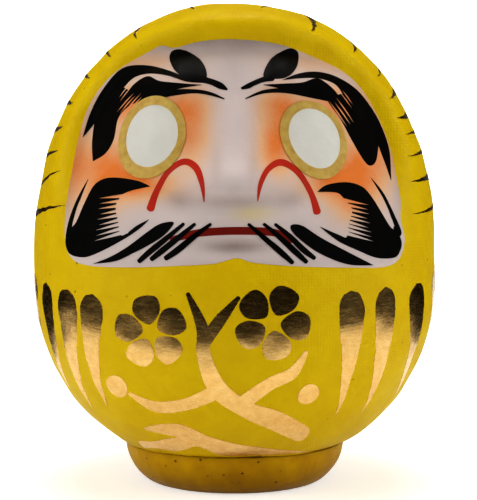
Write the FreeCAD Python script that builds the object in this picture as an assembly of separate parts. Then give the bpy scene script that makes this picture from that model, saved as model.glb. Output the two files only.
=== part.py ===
"""A hollow pulp doll of the self-righting kind: a hooded head and a round belly in one egg, on a weighted foot.

Millimetres, +Z up, the face looks along -Y, and the origin is the middle of the foot's underside.
The body is moulded from paper pulp in a front and a back half, butted together just behind the widest line
and held inside by pasted paper strips. It sits on a dish-shaped foot, whose spigot centres it, and a clay
weight is glued into that dish. A paper disc closes the underside and the hole for the dipping stick.
"""

import FreeCAD, Part
import math
import os

from FreeCAD import Vector

# Body: an egg of two superellipse halves that meet at the waist.
HEIGHT = 133.2
HALF_WIDTH = 56.9
DEPTH_RATIO = 0.97
WAIST_Z = 60.0
BELLY_DROP = 56.8
CROWN_POWER = 2.27
BELLY_POWER = 2.2
CROWN_RISE = HEIGHT - WAIST_Z
WALL = 2.0

# Hood: the front of the head is squarer than its sides, so that its rim stands over the face.
FRONT_POWER = 3.2
HOOD_ROLL = 0.8
HOOD_ROLL_OUT = 4.0
HOOD_ROLL_SPREAD = 4.5

# Face recess: flush with the belly below, and set deep into the hood above.
RECESS_HALF_WIDTH = 45.0
RECESS_TOP_Z = 123.5
RECESS_SIDE_Z = 70.0
RECESS_BOTTOM_Z = 60.0
RECESS_EDGE = -4.0
RECESS_SLOPE = 9.5
RECESS_DEPTH = 10.5
RECESS_FULL_Z = 98.0

# Face relief: (x, z) of the middle, height, and spread along x and z. Those off the middle come in pairs.
FACE_RELIEF = [
    (0.0, 77.0, 1.5, 18.0, 6.0),
    (0.0, 71.8, 1.0, 13.0, 2.2),
    (0.0, 68.6, -1.3, 8.0, 2.2),
    (0.0, 117.0, 0.8, 8.0, 7.0),
    (0.0, 84.0, 1.0, 6.0, 5.0),
    (12.5, 98.0, -0.9, 6.0, 9.0),
    (19.0, 109.0, 1.7, 13.0, 4.0),
    (30.0, 80.0, 1.0, 9.0, 8.0),
]
NOSE_Z = 83.0
NOSE_FOOT_Z = 74.5
BRIDGE_Z = 112.0
NOSE_HEIGHT = 6.0
NOSE_SPREAD = 8.5
NOSTRIL_X = 11.0
NOSTRIL_HEIGHT = 1.6
NOSTRIL_SPREAD = 6.0
EYE_X = 21.0
EYE_Z = 95.0
EYE_HALF_WIDTH = 10.0
EYE_HALF_HEIGHT = 11.0
EYE_HEIGHT = 1.8

# Joint between the halves, and the paper strips across it.
SEAM_Y = 4.0
STRIP_GAP = 0.1
STRIP_THICKNESS = 0.35
STRIP_WIDTH = 14.0
STRIP_COUNT = 9
STRIP_CLEARANCE_DEG = 1.0
STRIP_END_DEG = 42.0

# Foot, weight, glue and base paper.
RIM_Z = 11.2
FOOT_TOP_RADIUS = 31.0
FOOT_BASE_RADIUS = 24.5
FOOT_SIDE_RADIUS = 28.9
FOOT_SIDE_Z = 4.0
FOOT_WALL = 2.0
SPIGOT_RADIUS = 27.0
SPIGOT_TOP_Z = 15.4
FOOT_FLOOR = 2.4
PAPER_RADIUS = 19.0
PAPER_THICKNESS = 0.25
PAPER_RECESS = 0.35
STICK_HOLE_RADIUS = 4.0
WEIGHT_GAP = 0.25
WEIGHT_EDGE_Z = 13.4
WEIGHT_CROWN_Z = 20.0
STICK_HOLE_TOP_Z = 12.0
GLUE_LEG = 2.0

# How finely the skins are sampled before they are splined.
COLUMNS = 120
FRONT_CROWDING = 0.35
ROW_STEP_DEG = 2.0
CROWN_EDGE_DEG = 88.5
OUTLINE_POINTS = 90


def smooth_step(start, end, value):
    """0 before start, 1 after end, and a smooth rise between them."""
    t = min(1.0, max(0.0, (value - start) / (end - start)))
    return t * t * (3 - 2 * t)


def bell(distance, spread):
    """A smooth bump of height 1 at distance 0."""
    return math.exp(-((distance / spread) ** 2))


def recess_half_width(z):
    """Half the width of the face recess at height z: wide and square below, round above."""
    if z >= RECESS_SIDE_Z:
        t = min(1.0, (z - RECESS_SIDE_Z) / (RECESS_TOP_Z - RECESS_SIDE_Z))
        return RECESS_HALF_WIDTH * (1 - t**3) ** 0.4
    t = min(1.0, (RECESS_SIDE_Z - z) / (RECESS_SIDE_Z - RECESS_BOTTOM_Z))
    return RECESS_HALF_WIDTH * (1 - t**6) ** (1 / 3)


def recess_outline():
    """The right half of the recess's edge as (x, z) points, evenly turned from the bottom to the top."""
    middle = (RECESS_TOP_Z + RECESS_BOTTOM_Z) / 2
    reach = (RECESS_TOP_Z - RECESS_BOTTOM_Z) / 2
    heights = [middle - reach * math.cos(math.pi * i / OUTLINE_POINTS) for i in range(OUTLINE_POINTS + 1)]
    return [(recess_half_width(z), z) for z in heights]


OUTLINE = recess_outline()


def distance_inside(x, z):
    """Distance from (x, z) to the recess's edge, positive inside it."""
    x = abs(x)
    nearest = 1e9
    for (x1, z1), (x2, z2) in zip([(0.0, RECESS_BOTTOM_Z)] + OUTLINE, OUTLINE):
        run_x, run_z = x2 - x1, z2 - z1
        length = run_x * run_x + run_z * run_z
        share = 0.0 if length == 0 else ((x - x1) * run_x + (z - z1) * run_z) / length
        share = min(1.0, max(0.0, share))
        nearest = min(nearest, math.hypot(x - x1 - share * run_x, z - z1 - share * run_z))
    inside = RECESS_BOTTOM_Z < z < RECESS_TOP_Z and x < recess_half_width(z)
    return nearest if inside else -nearest


def face_relief(x, z):
    """How far the features stand proud of the bare face at (x, z)."""
    x = abs(x)
    height = sum(h * bell(x - x0, wide) * bell(z - z0, tall) for x0, z0, h, wide, tall in FACE_RELIEF)
    below = smooth_step(NOSE_FOOT_Z, NOSE_Z, z)
    height += NOSE_HEIGHT * below * smooth_step(BRIDGE_Z, NOSE_Z, z) * bell(x, NOSE_SPREAD)
    above = bell(max(0.0, z - NOSE_Z), NOSTRIL_SPREAD)
    height += NOSTRIL_HEIGHT * below * above * bell(x - NOSTRIL_X, NOSTRIL_SPREAD)
    reach = math.hypot((x - EYE_X) / EYE_HALF_WIDTH, (z - EYE_Z) / EYE_HALF_HEIGHT)
    return height + EYE_HEIGHT * max(0.0, 1 - reach**2) ** 1.5


def skin_point(turn, lift, inset):
    """A point of the body's skin, inset by that much. turn is from the front, about Z, and lift from the waist."""
    power = 2 / (CROWN_POWER if lift > 0 else BELLY_POWER)
    reach = (CROWN_RISE if lift > 0 else -BELLY_DROP) - math.copysign(inset, lift)
    radius = (HALF_WIDTH - inset) * math.cos(lift) ** power
    x = radius * math.sin(turn)
    forward = DEPTH_RATIO * radius * math.cos(turn)
    z = WAIST_Z + reach * abs(math.sin(lift)) ** power
    if forward > 0:
        if lift > 0:
            share = (z - WAIST_Z) / reach
            forward = DEPTH_RATIO * (HALF_WIDTH - inset) * (1 - share**FRONT_POWER) ** (1 / FRONT_POWER) * math.cos(turn)
        inside = distance_inside(x, z)
        depth = RECESS_DEPTH * smooth_step(RECESS_BOTTOM_Z, RECESS_FULL_Z, z)
        sunk = smooth_step(RECESS_EDGE, RECESS_EDGE + RECESS_SLOPE, inside)
        forward -= sunk * (depth - face_relief(x, z))
        roll = HOOD_ROLL * smooth_step(70, 90, z) * bell(inside + HOOD_ROLL_OUT, HOOD_ROLL_SPREAD)
        forward += roll * math.cos(turn)
    return Vector(x, -forward, z)


def skin_solid(inset, lowest_deg):
    """The body as a filled solid, inset by that much, from the lowest angle under the waist to the crown."""
    rows = round((CROWN_EDGE_DEG - lowest_deg) / ROW_STEP_DEG) + 1
    lifts = [math.radians(lowest_deg + (CROWN_EDGE_DEG - lowest_deg) * i / (rows - 1)) for i in range(rows)]
    steps = [2 * math.pi * i / COLUMNS for i in range(COLUMNS)]
    poles = [[skin_point(s - FRONT_CROWDING * math.sin(s), lift, inset) for lift in lifts] for s in steps]
    surface = Part.BSplineSurface()
    surface.buildFromPolesMultsKnots(
        poles,
        [1] * (COLUMNS + 1),
        [4] + [1] * (rows - 4) + [4],
        [float(i) for i in range(COLUMNS + 1)],
        [float(i) for i in range(rows - 2)],
        True,
        False,
        3,
        3,
    )
    side = surface.toShape()
    caps = [Part.Face(Part.Wire([edge])) for edge in side.Edges if edge.BoundBox.ZLength < 0.01]
    shell = Part.makeShell([side] + caps)
    shell.sewShape()
    return Part.makeSolid(shell)


def lift_at(z):
    """The angle under the waist, in degrees, at which the outer skin reaches height z."""
    return -math.degrees(math.asin(((WAIST_Z - z) / BELLY_DROP) ** (BELLY_POWER / 2)))


def slab(y_from, y_to):
    """A box across the whole body between two depths."""
    size = 4 * HALF_WIDTH
    return Part.makeBox(size, y_to - y_from, 2 * HEIGHT, Vector(-size / 2, y_from, -HEIGHT / 2))


def body_shells():
    """The front and back halves of the hollow pulp body, parted on a flat joint behind the widest line."""
    hollow = skin_solid(0, lift_at(RIM_Z)).cut(skin_solid(WALL, -68))
    return hollow.common(slab(-2 * HALF_WIDTH, SEAM_Y)), hollow.common(slab(SEAM_Y, 2 * HALF_WIDTH))


def seam_strips():
    """Short strips of torn paper, pasted inside across the joint from one side over the crown to the other."""
    outside = STRIP_GAP + WALL
    film = skin_solid(outside, -60).cut(skin_solid(outside + STRIP_THICKNESS, -64))
    band = film.common(slab(SEAM_Y - STRIP_WIDTH / 2, SEAM_Y + STRIP_WIDTH / 2))
    whole = 180 + 2 * STRIP_END_DEG
    pitch = whole / STRIP_COUNT
    strips = []
    for i in range(STRIP_COUNT):
        start = -STRIP_END_DEG + i * pitch + STRIP_CLEARANCE_DEG / 2
        wedge = Part.makeCylinder(2 * HEIGHT, 4 * HALF_WIDTH, Vector(0, 0, 0), Vector(0, 0, 1), pitch - STRIP_CLEARANCE_DEG)
        wedge.rotate(Vector(0, 0, 0), Vector(0, 0, 1), start)
        wedge.rotate(Vector(0, 0, 0), Vector(1, 0, 0), 90)
        wedge.translate(Vector(0, 2 * HALF_WIDTH, WAIST_Z))
        strips += band.common(wedge).Solids
    return Part.makeCompound(strips)


def revolved(points_and_arcs):
    """A solid of revolution about Z from edges in the XZ plane."""
    face = Part.Face(Part.Wire(points_and_arcs))
    return face.revolve(Vector(0, 0, 0), Vector(0, 0, 1), 360)


def line(r1, z1, r2, z2):
    return Part.makeLine(Vector(r1, 0, z1), Vector(r2, 0, z2))


def arc(r1, z1, r2, z2, r3, z3):
    return Part.Arc(Vector(r1, 0, z1), Vector(r2, 0, z2), Vector(r3, 0, z3)).toShape()


def foot_dish():
    """The dish that the doll stands on: a bowl-shaped rim, a shoulder for the body and a spigot inside it."""
    inner = SPIGOT_RADIUS - FOOT_WALL
    side = arc(FOOT_BASE_RADIUS, 0, FOOT_SIDE_RADIUS, FOOT_SIDE_Z, FOOT_TOP_RADIUS, RIM_Z)
    return revolved([
        line(STICK_HOLE_RADIUS, PAPER_RECESS, PAPER_RADIUS + 0.3, PAPER_RECESS),
        line(PAPER_RADIUS + 0.3, PAPER_RECESS, PAPER_RADIUS + 0.3, 0),
        line(PAPER_RADIUS + 0.3, 0, FOOT_BASE_RADIUS, 0),
        side,
        line(FOOT_TOP_RADIUS, RIM_Z, SPIGOT_RADIUS, RIM_Z),
        line(SPIGOT_RADIUS, RIM_Z, SPIGOT_RADIUS, SPIGOT_TOP_Z),
        line(SPIGOT_RADIUS, SPIGOT_TOP_Z, inner, SPIGOT_TOP_Z),
        line(inner, SPIGOT_TOP_Z, inner, FOOT_FLOOR),
        line(inner, FOOT_FLOOR, STICK_HOLE_RADIUS, FOOT_FLOOR),
        line(STICK_HOLE_RADIUS, FOOT_FLOOR, STICK_HOLE_RADIUS, PAPER_RECESS),
    ])


def clay_weight():
    """The clay slug that rights the doll: a disc with a domed top and a blind hole for the dipping stick."""
    radius = SPIGOT_RADIUS - FOOT_WALL - WEIGHT_GAP
    middle = radius / 2
    rise = WEIGHT_CROWN_Z - WEIGHT_EDGE_Z
    dome_radius = (radius**2 + rise**2) / (2 * rise)
    middle_z = WEIGHT_CROWN_Z - dome_radius + math.sqrt(dome_radius**2 - middle**2)
    return revolved([
        line(STICK_HOLE_RADIUS, FOOT_FLOOR, radius, FOOT_FLOOR),
        line(radius, FOOT_FLOOR, radius, WEIGHT_EDGE_Z),
        arc(radius, WEIGHT_EDGE_Z, middle, middle_z, 0, WEIGHT_CROWN_Z),
        line(0, WEIGHT_CROWN_Z, 0, STICK_HOLE_TOP_Z),
        line(0, STICK_HOLE_TOP_Z, STICK_HOLE_RADIUS, STICK_HOLE_TOP_Z),
        line(STICK_HOLE_RADIUS, STICK_HOLE_TOP_Z, STICK_HOLE_RADIUS, FOOT_FLOOR),
    ])


def glue_bead():
    """The ring of set glue between the clay's edge and the inside of the spigot."""
    wall = SPIGOT_RADIUS - FOOT_WALL
    ring = revolved([
        line(wall - GLUE_LEG, WEIGHT_EDGE_Z - 0.4, wall, WEIGHT_EDGE_Z - 0.4),
        line(wall, WEIGHT_EDGE_Z - 0.4, wall, WEIGHT_EDGE_Z + GLUE_LEG - 0.4),
        line(wall, WEIGHT_EDGE_Z + GLUE_LEG - 0.4, wall - GLUE_LEG, WEIGHT_EDGE_Z + 0.6),
        line(wall - GLUE_LEG, WEIGHT_EDGE_Z + 0.6, wall - GLUE_LEG, WEIGHT_EDGE_Z - 0.4),
    ])
    return ring.cut(clay_weight())


def base_paper():
    """The paper disc pasted into the shallow recess of the underside."""
    return Part.makeCylinder(PAPER_RADIUS, PAPER_THICKNESS, Vector(0, 0, PAPER_RECESS - PAPER_THICKNESS))


def main():
    os.makedirs("parts", exist_ok=True)
    front, back = body_shells()
    nodes = {
        "front_shell": front,
        "back_shell": back,
        "seam_strips": seam_strips(),
        "foot_dish": foot_dish(),
        "clay_weight": clay_weight(),
        "glue_bead": glue_bead(),
        "base_paper": base_paper(),
    }
    for name, shape in nodes.items():
        shape.exportStep(f"parts/{name}.step")
        print(name, len(shape.Solids), "solids", shape.isValid(), round(shape.Volume), "mm3")


main()
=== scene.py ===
"""A hooded self-righting doll of moulded paper pulp, painted yellow, with a brushed face and gold brush strokes.

The doll looks along -Y and stands at the origin. Lengths are in metres, and the brush work is laid out in
millimetres: on the face and belly as (x, z) seen from the front, and round the body as (turn, rise), where turn
is degrees from the front and rise is the height, carried on over the crown at 4 degrees of tilt a millimetre.
"""

import math

import bmesh
import bpy
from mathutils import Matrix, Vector, noise
from mathutils.bvhtree import BVHTree
from mathutils.geometry import delaunay_2d_cdt


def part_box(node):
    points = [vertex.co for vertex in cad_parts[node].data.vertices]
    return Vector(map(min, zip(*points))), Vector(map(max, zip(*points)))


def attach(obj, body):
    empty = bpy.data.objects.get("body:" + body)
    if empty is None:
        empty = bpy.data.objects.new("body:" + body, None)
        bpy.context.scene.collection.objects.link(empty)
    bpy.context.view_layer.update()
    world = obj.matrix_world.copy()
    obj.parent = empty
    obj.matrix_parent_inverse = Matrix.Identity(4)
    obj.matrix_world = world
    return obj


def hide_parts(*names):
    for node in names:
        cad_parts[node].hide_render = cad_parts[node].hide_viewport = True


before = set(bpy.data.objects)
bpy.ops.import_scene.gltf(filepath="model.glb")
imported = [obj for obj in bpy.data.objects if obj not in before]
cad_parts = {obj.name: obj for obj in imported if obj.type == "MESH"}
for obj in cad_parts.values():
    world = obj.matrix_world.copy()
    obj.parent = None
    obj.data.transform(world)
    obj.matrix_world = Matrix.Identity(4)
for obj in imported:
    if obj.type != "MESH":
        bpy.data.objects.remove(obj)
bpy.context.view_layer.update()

MM = 0.001
RIM_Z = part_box("front_shell")[0][2] / MM
TOP_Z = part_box("front_shell")[1][2] / MM
JOINT_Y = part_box("back_shell")[0][1]
CREST_DROP = 9.5
CREST_Z = TOP_Z - CREST_DROP  # above this the skin is looked at from more and more above
TILT_PER_MM = 4.0
CROWN_DIP = 9.0  # how far the point looked at sinks by the time it is looked at from straight above
WALL = 2.0 * MM

# ---------------------------------------------------------------------------------------------------------
# Materials
# ---------------------------------------------------------------------------------------------------------


def colour(hex_text):
    """An sRGB hex colour as a linear RGBA tuple."""
    values = [int(hex_text[i : i + 2], 16) / 255 for i in (1, 3, 5)]
    return (*[v / 12.92 if v <= 0.04045 else ((v + 0.055) / 1.055) ** 2.4 for v in values], 1.0)


def add(tree, kind, inputs=None, **settings):
    """Adds a node, sets its properties, and sets or links each of its named inputs."""
    node = tree.nodes.new(kind)
    for name, value in settings.items():
        setattr(node, name, value)
    for key, value in (inputs or {}).items():
        if isinstance(value, bpy.types.NodeSocket):
            tree.links.new(value, node.inputs[key])
        else:
            node.inputs[key].default_value = value
    return node


def material(name):
    """An empty node material, its tree, and its Object coordinates."""
    made = bpy.data.materials.new(name)
    made.use_nodes = True
    made.node_tree.nodes.clear()
    return made, made.node_tree, add(made.node_tree, "ShaderNodeTexCoord").outputs["Object"]


def per_mm(size):
    """A noise scale for features of that many millimetres."""
    return 1 / (size * MM)


def finish(made, tree, shader):
    add(tree, "ShaderNodeOutputMaterial", {"Surface": shader.outputs[0]})
    return made


def yellow_paint(name, full, dry, darkened_below=0.0):
    """Brushed yellow emulsion over screen-moulded pulp: opaque and satin, with a fine mesh in it.

    full and dry are the paint where it lies thick and where the brush ran dry. Below darkened_below, in millimetres,
    it turns darker and browner towards the bottom, and pitted.
    """
    made, tree, place = material(name)
    # A fine square mesh that comes and goes, as a forming screen might leave. 0.8 mm is chosen for its look.
    normal = add(tree, "ShaderNodeNewGeometry").outputs["Normal"]
    facing = add(tree, "ShaderNodeVectorMath", {0: normal, 1: normal}, operation="MULTIPLY").outputs[0]
    wires = add(tree, "ShaderNodeVectorMath", {0: place, "Scale": math.tau / (0.8 * MM)}, operation="SCALE")
    across = add(tree, "ShaderNodeSeparateXYZ", {0: wires.outputs[0]})
    facing = add(tree, "ShaderNodeSeparateXYZ", {0: facing})
    weave = 0.0
    for axis in "XYZ":
        wave = add(tree, "ShaderNodeMath", {0: across.outputs[axis]}, operation="SINE").outputs[0]
        seen = add(tree, "ShaderNodeMath", {0: 1.0, 1: facing.outputs[axis]}, operation="SUBTRACT").outputs[0]
        weave = add(tree, "ShaderNodeMath", {0: wave, 1: seen, 2: weave}, operation="MULTIPLY_ADD").outputs[0]
    patches = add(tree, "ShaderNodeTexNoise", {"Vector": place, "Scale": per_mm(22.0), "Detail": 2.0}).outputs["Fac"]
    shows = add(tree, "ShaderNodeMapRange", {"Value": patches, "From Min": 0.36, "From Max": 0.66}).outputs["Result"]
    weave = add(tree, "ShaderNodeMath", {0: weave, 1: shows}, operation="MULTIPLY").outputs[0]
    # Pulp fibres and thick paint leave soft lumps of 2 to 5 mm.
    lumps = add(tree, "ShaderNodeTexNoise", {"Vector": place, "Scale": per_mm(3.2), "Detail": 4.0, "Roughness": 0.55})
    lumps = lumps.outputs["Fac"]
    relief = add(tree, "ShaderNodeBump", {"Strength": 0.55, "Distance": 0.7 * MM, "Height": lumps})
    relief = add(
        tree, "ShaderNodeBump", {"Strength": 0.45, "Distance": 0.03 * MM, "Height": weave, "Normal": relief.outputs[0]}
    )
    # Two brushed coats: thin, warmer paint where the brush ran dry, and a few pin holes.
    coats = add(tree, "ShaderNodeTexNoise", {"Vector": place, "Scale": per_mm(9.0), "Detail": 5.0, "Roughness": 0.6})
    thin = add(tree, "ShaderNodeMapRange", {"Value": coats.outputs["Fac"], "From Min": 0.35, "From Max": 0.75})
    tint = add(
        tree,
        "ShaderNodeMix",
        {"Factor": thin.outputs["Result"], 6: colour(full), 7: colour(dry)},
        data_type="RGBA",
    )
    cells = add(tree, "ShaderNodeTexVoronoi", {"Vector": place, "Scale": per_mm(5.5)}).outputs["Distance"]
    holes = add(tree, "ShaderNodeMapRange", {"Value": cells, "From Min": 0.035, "From Max": 0.07})
    few = add(tree, "ShaderNodeMapRange", {"Value": patches, "From Min": 0.50, "From Max": 0.58})
    holes = add(tree, "ShaderNodeMath", {0: holes.outputs["Result"], 1: few.outputs["Result"]}, operation="MAXIMUM")
    tint = add(
        tree,
        "ShaderNodeMix",
        {"Factor": holes.outputs[0], 6: colour("#8A6A10"), 7: tint.outputs[2]},
        data_type="RGBA",
    )
    if darkened_below:
        # Darker and browner towards the bottom, along a ragged line.
        height = add(tree, "ShaderNodeSeparateXYZ", {0: place}).outputs["Z"]
        ragged_line = add(tree, "ShaderNodeMapping", {"Vector": place, "Scale": (1.0, 1.0, 0.25)}).outputs[0]
        ragged_line = add(tree, "ShaderNodeTexNoise", {"Vector": ragged_line, "Scale": per_mm(4.0), "Detail": 5.0}).outputs["Fac"]
        height = add(tree, "ShaderNodeMath", {0: ragged_line, 1: 7 * MM, 2: height}, operation="MULTIPLY_ADD").outputs[0]
        lower_darkening = add(
            tree,
            "ShaderNodeMapRange",
            {"Value": height, "From Min": darkened_below * MM, "From Max": 2.5 * MM, "To Min": 0.0, "To Max": 0.85},
        ).outputs["Result"]
        tint = add(
            tree, "ShaderNodeMix", {"Factor": lower_darkening, 6: tint.outputs[2], 7: colour("#8A6412")}, data_type="RGBA"
        )
        cells = add(tree, "ShaderNodeTexVoronoi", {"Vector": place, "Scale": per_mm(3.0)}).outputs["Distance"]
        pits = add(tree, "ShaderNodeMapRange", {"Value": cells, "From Min": 0.07, "From Max": 0.15}).outputs["Result"]
        sparse = add(tree, "ShaderNodeMapRange", {"Value": coats.outputs["Fac"], "From Min": 0.5, "From Max": 0.42})
        pits = add(tree, "ShaderNodeMath", {0: pits, 1: sparse.outputs["Result"]}, operation="MAXIMUM").outputs[0]
        tint = add(
            tree, "ShaderNodeMix", {"Factor": pits, 6: colour("#4E3608"), 7: tint.outputs[2]}, data_type="RGBA"
        )
    sheen = add(tree, "ShaderNodeMapRange", {"Value": lumps, "To Min": 0.40, "To Max": 0.62})
    shader = add(
        tree,
        "ShaderNodeBsdfPrincipled",
        {
            "Base Color": tint.outputs[2],
            "Roughness": sheen.outputs["Result"],
            "IOR": 1.48,
            "Specular IOR Level": 0.18,
            "Normal": relief.outputs[0],
        },
    )
    return finish(made, tree, shader)


def raw_pulp():
    """Bare moulded paper pulp: grey-brown felted fibre, quite matt, as it is inside the body."""
    made, tree, place = material("moulded_paper_pulp")
    fibre = add(tree, "ShaderNodeTexNoise", {"Vector": place, "Scale": per_mm(1.6), "Detail": 6.0, "Roughness": 0.7})
    fibre = fibre.outputs["Fac"]
    tint = add(tree, "ShaderNodeMix", {"Factor": fibre, 6: colour("#8F8575"), 7: colour("#B9AF9C")}, data_type="RGBA")
    relief = add(tree, "ShaderNodeBump", {"Strength": 0.8, "Distance": 0.4 * MM, "Height": fibre})
    shader = add(
        tree,
        "ShaderNodeBsdfPrincipled",
        {"Base Color": tint.outputs[2], "Roughness": 0.92, "Normal": relief.outputs[0]},
    )
    return finish(made, tree, shader)


def face_ground():
    """Chalk-white ground airbrushed with orange: matt, with the spray's fine grain, and painted shade in the hollows.
    """
    made, tree, place = material("airbrushed_chalk_ground")
    spray = add(tree, "ShaderNodeAttribute", attribute_name="orange").outputs["Fac"]
    # A spray dot is under 0.2 mm; it is drawn at 0.5 mm so that it shows.
    dots = add(tree, "ShaderNodeTexNoise", {"Vector": place, "Scale": per_mm(0.5), "Detail": 2.0}).outputs["Fac"]
    cloud = add(tree, "ShaderNodeTexNoise", {"Vector": place, "Scale": per_mm(5.0), "Detail": 3.0}).outputs["Fac"]
    grain = add(tree, "ShaderNodeMath", {0: dots, 1: 0.34, 2: 0.58}, operation="MULTIPLY_ADD").outputs[0]
    grain = add(tree, "ShaderNodeMath", {0: cloud, 1: 0.5, 2: grain}, operation="MULTIPLY_ADD").outputs[0]
    spray = add(tree, "ShaderNodeMath", {0: spray, 1: grain}, operation="MULTIPLY", use_clamp=True).outputs[0]
    ramp = add(tree, "ShaderNodeValToRGB", {"Fac": spray})
    ramp.color_ramp.elements[0].color = colour("#DCCDC8")
    ramp.color_ramp.elements[1].color = colour("#EF8B3C")
    ramp.color_ramp.elements[1].position = 0.95
    ramp.color_ramp.elements.new(0.35).color = colour("#EBBD94")
    stain = add(tree, "ShaderNodeAttribute", attribute_name="stain").outputs["Fac"]
    stain = add(tree, "ShaderNodeMath", {0: stain, 1: grain}, operation="MULTIPLY", use_clamp=True).outputs[0]
    tint = add(
        tree, "ShaderNodeMix", {"Factor": stain, 6: ramp.outputs[0], 7: colour("#E6D08C")}, data_type="RGBA"
    )
    # Painted shade: the white is darkened towards brown in the hollows, where shade falls.
    hollow_shade = add(tree, "ShaderNodeAttribute", attribute_name="hollow_shade").outputs["Fac"]
    hollow_shade = add(tree, "ShaderNodeMath", {0: hollow_shade, 1: grain}, operation="MULTIPLY", use_clamp=True).outputs[0]
    tint = add(
        tree, "ShaderNodeMix", {"Factor": hollow_shade, 6: tint.outputs[2], 7: colour("#77604F")}, data_type="RGBA"
    )
    lumps = add(tree, "ShaderNodeTexNoise", {"Vector": place, "Scale": per_mm(2.6), "Detail": 5.0}).outputs["Fac"]
    relief = add(tree, "ShaderNodeBump", {"Strength": 0.4, "Distance": 0.3 * MM, "Height": lumps})
    shader = add(
        tree,
        "ShaderNodeBsdfPrincipled",
        {
            "Base Color": tint.outputs[2],
            "Roughness": 0.6,
            "Specular IOR Level": 0.3,
            "Normal": relief.outputs[0],
        },
    )
    return finish(made, tree, shader)


def brushed_paint(name, dark, light, roughness, dents=0.25):
    """Thick poster paint laid with one stroke of a loaded brush: even colour, with a faint satin swell."""
    made, tree, place = material(name)
    swell = add(tree, "ShaderNodeTexNoise", {"Vector": place, "Scale": per_mm(4.0), "Detail": 4.0}).outputs["Fac"]
    tint = add(tree, "ShaderNodeMix", {"Factor": swell, 6: colour(dark), 7: colour(light)}, data_type="RGBA")
    relief = add(tree, "ShaderNodeBump", {"Strength": 0.5, "Distance": dents * MM, "Height": swell})
    gloss = add(tree, "ShaderNodeMapRange", {"Value": swell, "To Min": roughness - 0.08, "To Max": roughness + 0.08})
    shader = add(
        tree,
        "ShaderNodeBsdfPrincipled",
        {
            "Base Color": tint.outputs[2],
            "Roughness": gloss.outputs["Result"],
            "Specular IOR Level": 0.25,
            "Normal": relief.outputs[0],
        },
    )
    return finish(made, tree, shader)


def gold_paint(name, light, worn, roughness, leafing=1.0, streaks=0.02):
    """Bronze-powder paint, brushed on: metal flake in a clear binder, streaky, and thin enough to show the yellow."""
    made, tree, place = material(name)
    # Bristle marks are about 0.4 mm apart and several millimetres long.
    drawn = add(tree, "ShaderNodeMapping", {"Vector": place, "Scale": (0.2, 0.2, 1.0)})
    bristle = add(
        tree, "ShaderNodeTexNoise", {"Vector": drawn.outputs[0], "Scale": per_mm(0.9), "Detail": 4.0, "Roughness": 0.65}
    ).outputs["Fac"]
    flake = add(tree, "ShaderNodeTexNoise", {"Vector": place, "Scale": per_mm(2.2), "Detail": 5.0}).outputs["Fac"]
    tint = add(tree, "ShaderNodeMix", {"Factor": flake, 6: colour(worn), 7: colour(light)}, data_type="RGBA")
    relief = add(tree, "ShaderNodeBump", {"Strength": 0.5, "Distance": 0.09 * MM, "Height": flake})
    relief = add(
        tree,
        "ShaderNodeBump",
        {"Strength": 0.5, "Distance": streaks * MM, "Height": bristle, "Normal": relief.outputs[0]},
    )
    gloss = add(tree, "ShaderNodeMapRange", {"Value": bristle, "To Min": roughness - 0.1, "To Max": roughness + 0.14})
    shader = add(
        tree,
        "ShaderNodeBsdfPrincipled",
        {
            "Base Color": tint.outputs[2],
            "Metallic": leafing,
            "Roughness": gloss.outputs["Result"],
            "Normal": relief.outputs[0],
        },
    )
    return finish(made, tree, shader)


def grainy(name, dark, light, size, roughness, dents, transmission=0.0):
    """A plain unpainted stuff with an even grain: torn paper, dried clay or set glue."""
    made, tree, place = material(name)
    grain = add(tree, "ShaderNodeTexNoise", {"Vector": place, "Scale": per_mm(size), "Detail": 6.0}).outputs["Fac"]
    tint = add(tree, "ShaderNodeMix", {"Factor": grain, 6: colour(dark), 7: colour(light)}, data_type="RGBA")
    relief = add(tree, "ShaderNodeBump", {"Strength": 0.7, "Distance": dents * MM, "Height": grain})
    shader = add(
        tree,
        "ShaderNodeBsdfPrincipled",
        {
            "Base Color": tint.outputs[2],
            "Roughness": roughness,
            "Transmission Weight": transmission,
            "Normal": relief.outputs[0],
        },
    )
    return finish(made, tree, shader)


YELLOW = yellow_paint("yellow_emulsion_on_moulded_pulp", "#E8C802", "#E0BC02")
# The foot's yellow is darker than the body's, and darkens further towards the bottom.
FOOT_YELLOW = yellow_paint("thin_yellow_emulsion_on_pulp", "#D2A702", "#B98A02", 12.0)
PULP = raw_pulp()
FACE = face_ground()
BLACK = brushed_paint("black_poster_paint", "#0A0807", "#14100E", 0.36)
# The mouth's red is a darker copy of the red paint: painted shade under the lip.
SHADED_MOUTH_RED = brushed_paint("red_poster_paint_with_painted_shade", "#7E1C10", "#8E2416", 0.45)
RED = brushed_paint("red_poster_paint", "#B92E18", "#CC3A20", 0.45)
WHITE = brushed_paint("white_poster_paint", "#E0DDD2", "#E8E5DB", 0.5, 0.45)
GOLD = gold_paint("brushed_bronze_powder_gold", "#EACB8C", "#CFA25C", 0.24)
RING_GOLD = gold_paint("bright_bronze_powder_gold", "#FFE68C", "#D09C40", 0.3, 0.32, 0.008)
KRAFT = grainy("torn_kraft_paper", "#A5875C", "#BFA176", 1.2, 0.9, 0.1)
CLAY = grainy("dried_clay", "#6E5B49", "#8A7660", 1.8, 0.95, 0.4)
GLUE = grainy("set_hide_glue", "#7A4A16", "#A06A26", 3.0, 0.25, 0.1, 0.4)
PAPER = grainy("white_base_paper", "#CFC8B8", "#DED8CA", 0.8, 0.85, 0.05)

# ---------------------------------------------------------------------------------------------------------
# The skin: the CAD body's outer surface, resampled evenly, with the lumps of a hand-made moulding
# ---------------------------------------------------------------------------------------------------------


def tree_of(*objects):
    """One ray-casting tree over the meshes of these objects."""
    points, faces = [], []
    for o in objects:
        start = len(points)
        points += [v.co for v in o.data.vertices]
        faces += [[start + i for i in p.vertices] for p in o.data.polygons]
    return BVHTree.FromPolygons(points, faces)


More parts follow.
